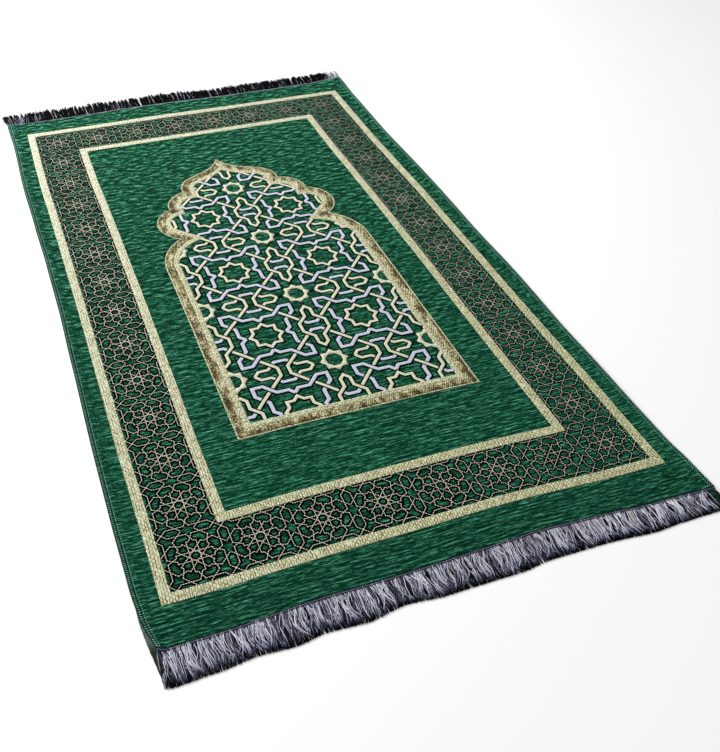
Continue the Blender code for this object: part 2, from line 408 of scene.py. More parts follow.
class Finish:
    """Builds one material's node tree in few words."""

    def __init__(self, name, roughness, sheen=0.0, sheen_tint=(1.0, 1.0, 1.0), gloss=0.2):
        self.material = bpy.data.materials.new(name)
        self.material.use_nodes = True
        self.nodes = self.material.node_tree.nodes
        self.shader = self.nodes["Principled BSDF"]
        self.shader.inputs["Roughness"].default_value = roughness
        self.shader.inputs["Specular IOR Level"].default_value = gloss
        self.shader.inputs["Sheen Weight"].default_value = sheen
        self.shader.inputs["Sheen Roughness"].default_value = 0.5
        self.shader.inputs["Sheen Tint"].default_value = (*sheen_tint, 1.0)

    def link(self, source, socket):
        """Joins an output to an input, or sets the input to a plain number or vector."""
        if isinstance(source, bpy.types.NodeSocket):
            self.material.node_tree.links.new(source, socket)
        else:
            socket.default_value = source

    def place(self, scale=(1, 1, 1), shift=0.0):
        """Object coordinates, in metres, times a scale for each axis; shift moves them along the rug."""
        mapping = self.nodes.new("ShaderNodeMapping")
        self.link(self.nodes.new("ShaderNodeTexCoord").outputs["Object"], mapping.inputs["Vector"])
        mapping.inputs["Scale"].default_value = scale
        mapping.inputs["Location"].default_value = (0.0, shift * scale[1], 0.0)
        return mapping.outputs["Vector"]

    def parts(self, vector):
        """The X and Y parts of a vector."""
        split = self.nodes.new("ShaderNodeSeparateXYZ")
        self.link(vector, split.inputs[0])
        return split.outputs["X"], split.outputs["Y"]

    def kept(self, name, output):
        """What a mesh keeps for each of its points under a name."""
        held = self.nodes.new("ShaderNodeAttribute")
        held.attribute_name = name
        return held.outputs[output]

    def way(self):
        """How far a point lies along and across its strip, in metres."""
        return self.parts(self.kept("run", "Vector"))

    def tone(self):
        """The shade that is kept for each point."""
        return self.kept("tone", "Fac")

    def math(self, operation, *values):
        """One step of arithmetic on sockets or numbers."""
        node = self.nodes.new("ShaderNodeMath")
        node.operation = operation
        for value, socket in zip(values, node.inputs):
            self.link(value, socket)
        return node.outputs[0]

    def times(self, value, factor, more=0.0):
        """A value times a factor, and more."""
        return self.math("MULTIPLY_ADD", value, factor, more)

    def noise(self, vector, detail=2.0, roughness=0.55):
        """Fractal noise of size 1 in its own coordinates, from 0 to 1."""
        noise = self.nodes.new("ShaderNodeTexNoise")
        self.link(vector, noise.inputs["Vector"])
        noise.inputs["Scale"].default_value = 1.0
        noise.inputs["Detail"].default_value = detail
        noise.inputs["Roughness"].default_value = roughness
        return noise.outputs["Fac"]

    def threads(self, scale, gap, share, detail=3.0, roughness=0.8):
        """Noise less a share of the same noise a gap further on, so that threads stand out."""
        here = self.noise(self.place(scale), detail, roughness)
        beside = self.math("SUBTRACT", 0.5, self.noise(self.place(scale, gap), detail, roughness))
        return self.times(beside, share, here)

    def ribs(self, way, pitch, phase=0.0):
        """A sine from 0 to 1 that repeats with a pitch in metres."""
        turns = self.times(way, 2 * math.pi / pitch, phase)
        return self.times(self.math("SINE", turns), 0.5, 0.5)

    def ramp(self, value, *stops):
        """A colour for each value, through stops of (value, red, green, blue as a screen shows them)."""
        ramp = self.nodes.new("ShaderNodeValToRGB")
        while len(ramp.color_ramp.elements) < len(stops):
            ramp.color_ramp.elements.new(0.5)
        for element, (at, *colour) in zip(ramp.color_ramp.elements, stops):
            element.position = at
            element.color = (*linear(*colour), 1.0)
        self.link(value, ramp.inputs["Fac"])
        return ramp.outputs["Color"]

    def mix(self, share, first, second, blend="MIX"):
        """Mixes two colours, sockets or linear ones."""
        node = self.nodes.new("ShaderNodeMix")
        node.data_type = "RGBA"
        node.blend_type = blend
        self.link(share, node.inputs["Factor"])
        for value, socket in ((first, node.inputs["A"]), (second, node.inputs["B"])):
            self.link(value if isinstance(value, bpy.types.NodeSocket) else (*value, 1.0), socket)
        return node.outputs["Result"]

    def finish(self, colour, height, depth):
        """Joins the colour and a bump of the given depth, in metres."""
        self.link(colour, self.shader.inputs["Base Color"])
        bump = self.nodes.new("ShaderNodeBump")
        bump.inputs["Distance"].default_value = depth
        self.link(height, bump.inputs["Height"])
        self.link(bump.outputs["Normal"], self.shader.inputs["Normal"])
        return self.material


print("ready to make finishes")

# %% [markdown]
# The ground is chenille: a fluffy yarn laid across the rug, plump, soft and uneven in shade. Noise that
# is stretched across the rug gives its streaks and slubs. On its own it would look like clouds, where
# the real threads lie side by side and each one shades the next. So a share of the same noise, one
# thread further on, is taken away from it. Rows of ribs give the single yarns, and a wider noise lets
# them wander.

# %% Green chenille
STREAK_SCALE = (28, 600, 1)      # noise cells for each metre across, along and up
SLUB_SCALE = (56, 210, 1)
FIBRE_SCALE = (110, 1700, 1)
PATCH_SCALE = (14, 60, 1)
THREAD_GAP = 2.8 * MM            # from a streak to the one beside it
SLUB_GAP = 6.5 * MM
BESIDE = 0.4                     # how much a thread is shaded by the one beside it
YARN_ROW = 2.1 * MM
HOLLOW = (0, 26, 14)             # the green between two yarns, as a screen shows it


def green_chenille():
    """Streaks, slubs and fibres across the rug, and rows of yarn; hems are darker; the foot has painted
    shade.

    At the foot the face is smooth and shows long fine streaks. Towards the head the nap is rougher,
    and plump pale slubs stand out from a darker ground. So nap grows from 0 to 1 along the rug, and
    each grain is added with a share that grows or falls with it.
    """
    made = Finish("green_chenille", 0.9, sheen=0.08, sheen_tint=linear(90, 220, 160), gloss=0.05)
    streaks = made.threads(STREAK_SCALE, THREAD_GAP, BESIDE)
    slubs = made.threads(SLUB_SCALE, SLUB_GAP, BESIDE, 3.0, 0.75)
    fibres = made.noise(made.place(FIBRE_SCALE), 2.0, 0.6)
    patches = made.noise(made.place(PATCH_SCALE), 2.0)
    _, y = made.parts(made.place())
    nap = made.times(y, 0.85, 0.5)
    shade = made.times(nap, -0.024, 0.512)
    for grain, growth, share in ((fibres, 0.0, 0.40), (streaks, -0.22, 0.60), (slubs, 0.88, 0.02)):
        shade = made.times(made.math("SUBTRACT", grain, 0.5), made.times(nap, growth, share), shade)
    colour = made.ramp(shade, (0.43, *HOLLOW), (0.48, 0, 54, 34), (0.515, 1, 66, 44), (0.55, 18, 92, 65),
                       (0.595, 98, 184, 146))
    rows = made.ribs(made.times(patches, 2 * YARN_ROW, y), YARN_ROW)
    between = made.times(made.math("SUBTRACT", 1.0, rows), 0.2)
    colour = made.mix(between, colour, linear(*HOLLOW))
    # The kept tone darkens the hems, and at the foot end it is painted shade.
    colour = made.mix(made.times(made.tone(), 0.75), colour, linear(2, 26, 18))
    height = made.times(rows, 0.5, made.times(slubs, 0.8, made.times(fibres, 0.7)))
    return made.finish(colour, height, 0.5 * MM)


GREEN = green_chenille()
print("made", GREEN.name)

# %% [markdown]
# In the two frames cream floats run along the rug, held down by brown ticks that stand across the band,
# in staggered rows. A ping-pong of the place gives the distance to the nearest tick, and noise lets the
# rows wander and the ticks fade, as the flattened floats of the real one do.

# %% Cream of the frames
TICK_PITCH = 3.1 * MM
TICK_ROW = 5.8 * MM


def cream_frame():
    """Cream floats along the rug, parted by brown ticks: each column of ticks is half a row off.

    corner is how far a point lies to the right and towards the foot. Ticks grow stronger and the
    cream yellower with it.
    """
    made = Finish("cream_frame_yarn", 0.8, sheen=0.1)
    x, y = made.parts(made.place((1 / TICK_PITCH, 1 / TICK_ROW, 1)))
    blotch = made.noise(made.place((110, 60, 1)), 3.0)
    column = made.times(blotch, 1.6, x)
    row = made.times(made.math("FLOOR", column), 0.5, y)
    off_column = made.math("PINGPONG", column, 0.5)
    off_row = made.math("PINGPONG", row, 0.5)
    tick = made.times(made.math("LESS_THAN", off_column, 0.30), made.math("LESS_THAN", off_row, 0.27))
    corner = made.math("SUBTRACT", made.times(x, TICK_PITCH), made.times(y, TICK_ROW))
    shade = made.times(tick, made.times(blotch, 3.2, -0.9))
    shade = made.times(shade, made.times(corner, 0.75, 0.95))
    fibres = made.noise(made.place((520, 170, 1)), 3.0)
    cream = made.ramp(fibres, (0.36, 164, 158, 109), (0.5, 216, 218, 188), (0.62, 240, 242, 231))
    cream = made.mix(made.times(corner, 0.33, 0.25), cream, (1.0, 1.0, 0.62), "MULTIPLY")
    colour = made.mix(shade, cream, linear(92, 80, 28))
    height = made.math("SUBTRACT", made.times(off_column, 1.6, fibres), shade)
    return made.finish(colour, height, 0.4 * MM)


CREAM_FRAME = cream_frame()
print("made", CREAM_FRAME.name)

# %% [markdown]
# The ribbons of the interlace, the black outlines and the lattice's pale lines are flat yarns with
# slanting ribs, which follow each strip wherever it turns. The niche's bands are coarser: their floats
# show as short dashes along the rug, with patches where the gold is worn.

# %% Ribbed and dashed yarns
WEFT = 1.15 * MM                 # spacing of the flat yarns
RIBBON_RIBS = 2.0 * MM
DASH_RIBS = 2.7 * MM
RIBBON_SHARE = 0.45              # how much a ribbon's shade comes from its ribs


def ribbed(name, dark, light, pitch=WEFT, share=0.35, gloss=0.2, sheen=0.08, dim=(0.0, 0.0)):
    """Slanting ribs from a dark to a light shade, mottled by noise.

    share is the ribs' part in the shade. dim is how much darker it grows, for each metre to the right
    and towards the head.
    """
    made = Finish(name, 0.82, sheen=sheen, gloss=gloss)
    along, across = made.way()
    ribs = made.ribs(made.times(across, 0.8, along), pitch)
    blotch = made.noise(made.place((300, 420, 300)), 2.0)
    shade = made.times(ribs, share, made.times(blotch, 1 - share))
    right, up = made.parts(made.place((-dim[0], -dim[1], 1)))
    shade = made.math("ADD", shade, made.math("ADD", right, up))
    return made.finish(made.ramp(shade, (0.22, *dark), (0.62, *light)), ribs, 0.3 * MM)


def dashed(name, lines, patchy, inward, *stops):
    """Dashes along the rug, with slanting ribs and patches of another shade.

    lines and patchy are the parts of the ribs and the patches in the shade, and the dashes have the
    rest. inward is how much paler it grows, for each metre towards the niche's middle.
    """
    made = Finish(name, 0.78, sheen=0.08)
    dashes = made.noise(made.place((640, 300, 1)), 2.0, 0.6)
    patches = made.noise(made.place((110, 50, 1)), 2.0)
    x, y = made.parts(made.place())
    ribs = made.ribs(made.times(y, -0.45, made.math("ABSOLUTE", x)), DASH_RIBS)
    _, across = made.way()
    shade = made.times(dashes, 1 - lines - patchy)
    for grain, share in ((patches, patchy), (ribs, lines), (across, inward)):
        shade = made.times(grain, share, shade)
    return made.finish(made.ramp(shade, *stops), dashes, 0.4 * MM)


CREAM = ribbed("cream_ribbon_yarn", (168, 164, 122), (244, 246, 221), RIBBON_RIBS, RIBBON_SHARE)
LILAC = ribbed("lilac_ribbon_yarn", (150, 156, 180), (227, 232, 246), RIBBON_RIBS, RIBBON_SHARE)
BLACK = ribbed("black_outline_yarn", (2, 3, 4), (14, 16, 18), gloss=0.0, sheen=0.0)
PALE = ribbed("pale_line_yarn", (88, 74, 42), (255, 254, 228), 3.0 * MM, 0.6, dim=(0.05, -0.05))
GOLD = dashed("gold_band_yarn", 0.09, 0.42, 6.0, (0.482, 48, 34, 8), (0.532, 92, 78, 34),
              (0.582, 148, 144, 92), (0.650, 238, 230, 194))
NICHE_CREAM = dashed("cream_band_yarn", 0.04, 0.12, 0.0, (0.39, 104, 92, 52), (0.47, 172, 170, 126),
                     (0.58, 228, 230, 200))
print("made the flat yarns")

# %% [markdown]
# ## The cloth's face
#
# The ground is one sheet over the whole cut cloth. Rows of points stand close together along the rug,
# because the slubs run across it and give the face its fine relief, and far apart across it. The relief
# is a sum of a few sines whose crests wander, so it repeats nowhere that the eye can follow.

# %% Cloth face
ROW_PITCH = 1.6 * MM
COLUMN_PITCH = 8.5 * MM
RELIEF = 0.03 * MM
RELIEF_ROWS = (3.1 * MM, 4.9 * MM)
INNER_ROW = 6.0 * MM             # the hem is darker outside this row of stitches
PAINTED_FOOT_SHADE = 0.3                 # painted shade: how much darker the cloth is at its foot, where it turns from the light
END_RIM = (0.0, 0.15 * MM, 0.5 * MM, EDGE_ROUND)
SIDE_RIM = (*END_RIM, INNER_ROW - 1 * MM, INNER_ROW + 1 * MM, HEM_WIDTH - 1 * MM, HEM_WIDTH,
            HEM_WIDTH + HEM_STEP / 2, HEM_WIDTH + HEM_STEP, HEM_WIDTH + 3 * MM)


def spread(size, rim, pitch):
    """Stations across a size: close ones at both rims, and even ones between."""
    inner = size / 2 - rim[-1]
    middle = np.linspace(-inner, inner, round(2 * inner / pitch) + 1)
    edge = size / 2 - np.array(rim[:-1])
    return np.concatenate([-edge, middle, edge[::-1]])


def relief(u, v):
    """Slub relief: two sines along the rug whose phases wander across it, faded out at the rims."""
    wander = 2.2 * np.sin(u * 31 + 1.3) + 1.7 * np.sin(u * 77 + v * 9) + 1.1 * np.sin(u * 143 - v * 23)
    rows = np.sin(v / RELIEF_ROWS[0] * 2 * np.pi + wander)
    rows += 0.3 * np.sin(v / RELIEF_ROWS[1] * 2 * np.pi - 1.4 * wander)
    inside = np.minimum(CLOTH_WIDTH / 2 - np.abs(u), CLOTH_LENGTH / 2 - np.abs(v))
    return RELIEF * rows * smooth((inside - 2 * MM) / (6 * MM))


face_u, face_v = np.meshgrid(spread(CLOTH_WIDTH, SIDE_RIM, COLUMN_PITCH),
                             spread(CLOTH_LENGTH, END_RIM, ROW_PITCH))
face = on_cloth(face_u, face_v, relief(face_u, face_v))
from_side = CLOTH_WIDTH / 2 - np.abs(face_u)
hem_tone = smooth((INNER_ROW + 1 * MM - from_side) / (1.5 * MM))
# Painted shade: the foot end darkens towards its rim, where the cloth turns from the light.
painted_foot_shade = PAINTED_FOOT_SHADE * smooth((-face_v - 515 * MM) / (30 * MM))
hem_tone_and_painted_shade = np.maximum(hem_tone, painted_foot_shade)
cloth = woven_piece("cloth_face", [face[None]], GREEN, tones=[hem_tone_and_painted_shade])
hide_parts("rug_cloth")

# %% [markdown]
# ## The hem stitches
#
# Each long side is turned under and sewn with a teal thread. On the face this shows as a row of short
# running stitches and, outside it, a row of slanting ones. A stitch is a thin tube that rises out of the
# cloth and dips back into it.

# %% Teal thread and stitches
STITCH_PITCH = 2.9 * MM
STITCH_RADII = 0.55 * MM * np.array([0.5, 0.9, 1.0, 1.0, 0.9, 0.5])
OUTER_ROW = 1.3 * MM             # from the cloth's edge
SLANT = 2.5 * MM                 # how far the outer row's stitches lean in


def teal_thread():
    """Pale and dark fibres in a fine mottle."""
    made = Finish("teal_thread", 0.7, sheen=0.1)
    mottle = made.noise(made.place((700, 700, 700)))
    colour = made.ramp(mottle, (0.4, 74, 142, 118), (0.6, 156, 208, 188))
    return made.finish(colour, made.noise(made.place((2500, 2500, 2500))), 0.1 * MM)


def tubes(paths, radii, sides=4):
    """Round tubes along paths (n, points, 3): a ring of points at right angles to each path's way."""
    ahead = np.gradient(paths, axis=1)
    ahead = ahead / np.linalg.norm(ahead, axis=-1, keepdims=True).clip(1e-9)
    side = np.cross(ahead, (0.0, 0.0, 1.0))
    side = side / np.linalg.norm(side, axis=-1, keepdims=True).clip(1e-9)
    up = np.cross(side, ahead)
    turns = np.arange(sides + 1) * 2 * np.pi / sides
    ring = side[:, :, None] * np.cos(turns)[:, None] + up[:, :, None] * np.sin(turns)[:, None]
    return paths[:, :, None] + np.asarray(radii)[..., None, None] * ring


def stitches(start_u, stop_u, start_v, stop_v):
    """Paths of stitches between two points of the cloth, humped as a half sine."""
    share = np.linspace(0, 1, len(STITCH_RADII))
    u = start_u[:, None] + (stop_u - start_u)[:, None] * share
    v = start_v[:, None] + (stop_v - start_v)[:, None] * share
    return on_cloth(u, v, (0.55 * np.sin(np.pi * share) - 0.25) * MM)


TEAL = teal_thread()
for name, side in (("hem_stitches_left", -1), ("hem_stitches_right", 1)):
    at = np.arange(-CLOTH_LENGTH / 2 + 2 * MM, CLOTH_LENGTH / 2 - 4 * MM, STITCH_PITCH)
    outer = np.full(len(at), side * (CLOTH_WIDTH / 2 - OUTER_ROW))
    inner = outer - side * (INNER_ROW - OUTER_ROW)
    rows = [stitches(inner, inner, at, at + 0.68 * STITCH_PITCH),
            stitches(outer - side * SLANT, outer, at, at + 0.5 * STITCH_PITCH)]
    woven_piece(name, [tubes(row, STITCH_RADII) for row in rows], TEAL)

# %% [markdown]
# ## The cream frames
#
# Two cream frames, 12.5 mm wide, hold the border between them. Each side is a plump band whose ends are
# cut at 45 degrees, so that the four meet in a mitre. A side is made as its own piece, because a band
# that runs the whole way round would share one small baked picture.

# %% Cream frames
BAND = 12.5 * MM
BAND_ROW = 6 * MM                # spacing of the rows of points along a band
BAND_EDGE = np.array([(0.0, -0.15), (0.12, 0.3), (0.5, 0.5), (0.98, 0.55)]) * MM   # inward, height
OUTER_FRAME = (306.3 * MM, 524.0 * MM)   # half width and half length to the outer edge
INNER_FRAME = (223.0 * MM, 441.0 * MM)


def frame_side(start, stop, inward):
    """A mitred band between two outer corners: rows run along it, columns go inward from its edge.

    start, stop and inward are flat vectors; a column moves in by its step and is shortened by as much
    at both ends.
    """
    steps = np.concatenate([BAND_EDGE[:, 0], BAND - BAND_EDGE[::-1, 0]])
    heights = np.concatenate([BAND_EDGE[:, 1], BAND_EDGE[::-1, 1]])
    length = np.linalg.norm(stop - start)
    way = (stop - start) / length
    along = np.linspace(0, 1, round(length / BAND_ROW) + 1)[:, None] * (length - 2 * steps) + steps
    spots = start + way * along[..., None] + inward * steps[:, None]
    grid = on_rug(spots[..., 0], spots[..., 1], heights)
    return grid[None], np.stack(np.broadcast_arrays(along, steps), axis=-1)[None]


for name, frame_size in (("outer_frame", OUTER_FRAME), ("inner_frame", INNER_FRAME)):
    corners = np.array([(-1, -1), (1, -1), (1, 1), (-1, 1)]) * frame_size
    inward = np.array([(0, 1), (-1, 0), (0, -1), (1, 0)])
    for number, side in enumerate(("foot", "right", "head", "left")):
        strip = frame_side(corners[number], corners[(number + 1) % 4], inward[number])
        woven_strips(f"{name}_{side}", [strip], CREAM_FRAME)

# %% [markdown]
# ## The lattice border
#
# Between the frames runs a lattice of square repeats, 8 across the rug and 14 along it, each with an
# eight-petalled rosette. Only four numbers draw it, in units of half a repeat. Four pairs of parallel
# chords, two CHORDs apart, cross in the middle. Each chord turns in at TURN, crosses its twin at CROSS,
# and ends a FOOT beyond the middle of a side of an octagon of inradius 1 - CHORD. The octagon's sides run
# on to the repeat's edge, where they meet those of the next repeat, so that long hexagons straddle the
# edges. Every line is a pale thread over a wider black one.

# %% Lattice lines of one repeat
CHORD = 0.155
TURN = 0.557
CROSS = 0.693
FOOT = 0.08
NECK = 0.065                     # softens the turn: a point between it and the crossing
SIDE_LINE = 1 - CHORD
TIP = math.sqrt(2) * SIDE_LINE - 1


def turned(path, eighths):
    """A flat path turned by a number of eighths of a whole turn."""
    angle = eighths * math.pi / 4
    spin = np.array([[math.cos(angle), math.sin(angle)], [-math.sin(angle), math.cos(angle)]])
    return np.asarray(path, float) @ spin


def repeat_lines():
    """All lines of one repeat, from -1 to 1 each way."""
    chord = [(FOOT, SIDE_LINE), (0, CROSS), (-NECK, TURN), (-CHORD, TURN),
             (-CHORD, -TURN), (-NECK, -TURN), (0, -CROSS), (FOOT, -SIDE_LINE)]
    mirrored = [(-x, y) for x, y in chord]
    lines = [turned(path, eighths) for eighths in range(4) for path in (chord, mirrored)]
    diagonal = SIDE_LINE / math.sqrt(2)
    step = FOOT / math.sqrt(2)
    for mirror in (1, -1):
        vee = np.array([(diagonal - step, diagonal + step), (TIP, 1)]) * (mirror, 1)
        shoulder = np.array([(FOOT, SIDE_LINE), (SIDE_LINE - TIP, SIDE_LINE), (1 - TIP, 1)]) * (mirror, 1)
        lines += [turned(line, eighths) for eighths in range(0, 8, 2) for line in (vee, shoulder)]
    lines += [turned([(1 - TIP, 1), (1, 1 - TIP)], eighths) for eighths in range(0, 8, 2)]
    return lines


LATTICE_LINES = repeat_lines()
print(len(LATTICE_LINES), "lines in a repeat")

# %% Lattice border
REPEATS = (8, 14)
PALE_LINE = 0.76 * MM
DARK_LINE = 6.0 * MM
DARK_PROFILE = np.array([(-0.5, -0.1), (-0.46, 0.2), (0.46, 0.2), (0.5, -0.1)]) * (DARK_LINE, MM)
PALE_PROFILE = crowned(PALE_LINE, 0.08 * MM, 0.03 * MM)[[0, 1, 3, 5, 6]] + (0.0, 0.24 * MM)


def lattice_centres():
    """Middles of the repeats that ring the field, and half a repeat's width and length."""
    size = 2 * (np.array(OUTER_FRAME) - BAND) / REPEATS
    column, row = [grid.ravel() for grid in np.meshgrid(*[np.arange(count) for count in REPEATS])]
    rim = (column == 0) | (column == REPEATS[0] - 1) | (row == 0) | (row == REPEATS[1] - 1)
    spots = np.column_stack([column, row])[rim] - (np.array(REPEATS) - 1) / 2
    return spots * size, size / 2


centres, half_repeat = lattice_centres()
# The lines grow finer to the right and, the pale ones, towards the head.
finer_right = 1 - 0.25 * smooth(centres[:, 0] / 0.25)[:, None, None]
finer_head = 1 - 0.2 * smooth(centres[:, 1] / 0.45)[:, None, None]
dark, pale = [], []
for line in LATTICE_LINES:
    paths = centres[:, None, :] + line * half_repeat
    dark.append(ribbon(paths, DARK_PROFILE, widths=finer_right))
    pale.append(ribbon(paths, PALE_PROFILE, widths=finer_right * finer_head))
woven_strips("lattice_outlines", dark, BLACK)
woven_strips("lattice_lines", pale, PALE)

# %% [markdown]
# ## The niche
#
# The niche is drawn by one rule, so that each of its bands is the same outline moved inward. From the
# tip, a hollow arc and a straight run come down to the first of three lobes. Each lobe is an arc between
# a level and an upright tangent, which meet the next lobe in a square cusp. The third lobe leaves at 45
# degrees for the neck, and a wide shoulder arc leads into the upright side.

# %% Outline of the niche
NICHE_AXIS = 1.0 * MM
NICHE_FOOT = -330 * MM
LOBES = np.array([(46, 248, 39), (78, 200, 42), (103, 152, 47)]) * MM   # centre out, centre up, radius
TIP_ARC = np.array([64.4, 358.6, 69.3]) * MM                            # the hollow arc of the tip
TIP_LEAN = 24.2                                                         # degrees of the run below it
SHOULDER = np.array([80, 38, 84.5]) * MM
BETWEEN = (6, 5, 5, 5, 5, 9, 60, 28)     # points that are added on each straight run, from the tip down


def arc(centre_out, centre_up, radius, start, stop, count):
    """Points of an arc; angles are in degrees from outward, upward being 90."""
    angles = np.radians(np.linspace(start, stop, count))
    return np.column_stack((centre_out + radius * np.cos(angles), centre_up + radius * np.sin(angles)))


def straight(start, stop, count):
    """Points of a straight run without its ends."""
    return start + (stop - start) * np.linspace(0, 1, count + 2)[1:-1, None]


def shoulder_arc(start, out, up, radius):
    """The shoulder's arc, from where a line from start, inward and down at 45 degrees, meets its circle."""
    away = start - (out, up)
    way = np.array((-1, -1)) / math.sqrt(2)
    reach = -(away @ way) - math.sqrt((away @ way) ** 2 - away @ away + radius**2)
    neck = start + reach * way
    lean = math.degrees(math.atan2(neck[1] - up, neck[0] - out))
    return arc(out, up, radius, lean, 0, 30)


def half_niche(inset):
    """Half of the outline, from the tip to the middle of the foot, moved inward by an inset.

    It is a row of arcs and corners, joined by straight runs. Moving inward makes the hollow arc wider
    and all the others narrower, round the same centres.
    """
    tip_out, tip_up, tip_radius = TIP_ARC + (0, 0, inset)
    drop = math.degrees(math.acos(tip_out / tip_radius))
    first, second, third = LOBES - (0, 0, inset)
    third_lobe = arc(*third, 90, -45, 28)
    shoulder = shoulder_arc(third_lobe[-1], *(SHOULDER - (0, 0, inset)))
    parts = [
        arc(tip_out, tip_up, tip_radius, 180 + drop, 270 - TIP_LEAN, 26),
        arc(*first, 90 - TIP_LEAN, 0, 20),
        np.array([(first[0] + first[2], second[1] + second[2])]),
        arc(*second, 90, 0, 20),
        np.array([(second[0] + second[2], third[1] + third[2])]),
        third_lobe,
        shoulder,
        np.array([(shoulder[-1, 0], NICHE_FOOT + inset)]),
        np.array([(0.0, NICHE_FOOT + inset)]),
    ]
    outline = parts[:1]
    for part, following, count in zip(parts, parts[1:], BETWEEN):
        outline += [straight(part[-1], following[0], count), following]
    return np.concatenate(outline)


def niche(inset):
    """The whole closed outline: both halves, left one first, down from the tip and back up."""
    right = half_niche(inset)
    left = right * (-1, 1)
    return np.concatenate([left, right[::-1][1:]]) + (NICHE_AXIS, 0)


print("tip and foot corner at, mm:", np.round(niche(0.0)[0] / MM, 1), np.round(niche(0.0).min(0) / MM, 1))

# %% Bands of the niche
INNER_EDGE = 22.3                # mm, inset of the niche's last edge
NICHE_BANDS = (                  # name, outer inset, inner inset in mm, finish, slot
    ("niche_edge", 0.0, 2.0, NICHE_CREAM, "gold_yarn"),
    ("niche_gold", 2.0, 13.5, GOLD, "gold_yarn"),
    ("niche_cream", 13.5, INNER_EDGE, NICHE_CREAM, "cream_yarn"),
)


def niche_band(outer, inner):
    """A plump band between two insets of the outline, with edges that dip into the cloth."""
    shares = np.array([0.0, 0.02, 0.25, 0.5, 0.75, 0.98, 1.0])
    heights = np.array([-0.1, 0.42, 0.56, 0.6, 0.56, 0.42, -0.1]) * MM
    insets = outer + (inner - outer) * shares
    lines = np.stack([niche(inset) for inset in insets], axis=1)
    grid = on_rug(lines[..., 0], lines[..., 1], heights)
    steps = np.linalg.norm(np.diff(lines[:, 3], axis=0), axis=-1)
    along = np.concatenate([[0.0], np.cumsum(steps)])
    return grid[None], np.stack(np.broadcast_arrays(along[:, None], insets), axis=-1)[None]


for name, outer, inner, finish, slot in NICHE_BANDS:
    woven_strips(name, [niche_band(outer * MM, inner * MM)], finish)

# %% [markdown]
# ## The star interlace
#
# The niche is filled with a common repeat of eight-pointed stars. Its skeleton has the symmetry of a
# square, so a quarter of a repeat, charted in small units, is enough: small stars at the repeat's
# middle, large ones at its corners, bottles between them, and two ribbons that weave through. The last
# column of the chart says whether a ribbon passes over (1) or under (0) there. The colours differ between
# the upright and the level bottles, as they do on the loom.

# %% Chart of the interlace
UNITS = 66                       # chart units in half a repeat
HALF_STAR = np.array([70.9, 76.4]) * MM    # half a repeat across and along
STAR_AXIS = np.array([1.2, -0.7]) * MM     # a large star's row and the middle small stars' column
BOTTLE = [(0, 27.9, 1), (6.2, 34.2, 1), (6.2, 47, 1), (17.8, 58.2, 1), (17.8, 66, 1)]
CREAM_CHART = {
    "hook": [(27.9, 0, 0), (34.2, 6.9, 0), (47, 6.9, 0), (52.5, 12.0, 0)],
    "diagonal": [(12.8, 53.2, 0), (18, 48, 0.2), (26.5, 39.5, 1), (33, 33, 0.6), (39.5, 26.5, 0),
                 (47, 19, 0.7), (59.3, 6.7, 1), (59.3, 0, 1)],
}
LILAC_CHART = {
    "bar": [(0, 59.2, 0), (6.6, 59.2, 0), (12.2, 53.6, 0)],
    "belly": [(53.6, 13.0, 0), (58.3, 17.6, 0), (66, 17.6, 0)],
    "knot": [(66, 38.8, 1), (60, 32, 1), (45.2, 32, 1), (39.5, 26.5, 1), (31.4, 18, 1), (18, 18, 0.8),
             (18, 31.6, 0.4), (26.5, 39.5, 0), (31.6, 45, 0.4), (31.6, 60, 0.6), (38.8, 66, 0.6)],
}
THIN_CHART = (                   # thin black lines that no ribbon covers
    [(19.8, 3.4, 0), (26.6, -3.4, 0)], [(3.4, 19.8, 0), (-3.4, 26.6, 0)],
    [(14.6, 14.4, 0), (14.9, 40, 0)],
    [(62.6, 44.8, 0), (69.4, 38.0, 0)], [(44.8, 62.6, 0), (38.0, 69.4, 0)],
)
SMALL_STAR = 13.6                # from a star's middle to the sides of its squares
LARGE_STAR = 15.4
STAR_ANGLES = np.arange(17) * math.pi / 8      # 16 corners, and the first one again


def star_line(half_square):
    """Outline of two crossed squares, upright and turned, round the origin: 16 corners and a close."""
    tip = half_square * math.sqrt(2)
    dent = half_square / math.cos(math.pi / 8)
    radii = np.where(np.arange(17) % 2 == 0, tip, dent)
    return np.column_stack((radii * np.cos(STAR_ANGLES), radii * np.sin(STAR_ANGLES)))


def mirrors(path):
    """The four mirror images of a charted path."""
    return [np.array(path, float) * (*sign, 1) for sign in ((1, 1), (-1, 1), (1, -1), (-1, -1))]


print("a repeat measures, mm:", np.round(2 * HALF_STAR / MM, 1))

# %% [markdown]
# The repeats are laid over the niche's box, and what falls outside the niche is left out. A ribbon that
# runs under the cream band is pressed flat there, so that it ends beneath the band and not before it.

# %% Repeats within the niche
NICHE_EDGE = niche(INNER_EDGE * MM)
UNDER_BAND = 7 * MM              # how far a ribbon runs on under the band
PRESSED = 2.5 * MM               # width over which it is pressed flat
LOW = 0.25 * MM                  # height of a ribbon that passes under
HIGH = 0.58 * MM
FINE_STEP = 1.6                  # chart units between the points of a ribbon
AT_ONCE = 4000                   # points that are measured in one go, to save memory
STAR_PLACES = STAR_AXIS + HALF_STAR * np.stack(
    np.meshgrid((-2.0, 0.0, 2.0), (-5.0, -3.0, -1.0, 1.0, 3.0, 5.0)), axis=-1).reshape(-1, 2)


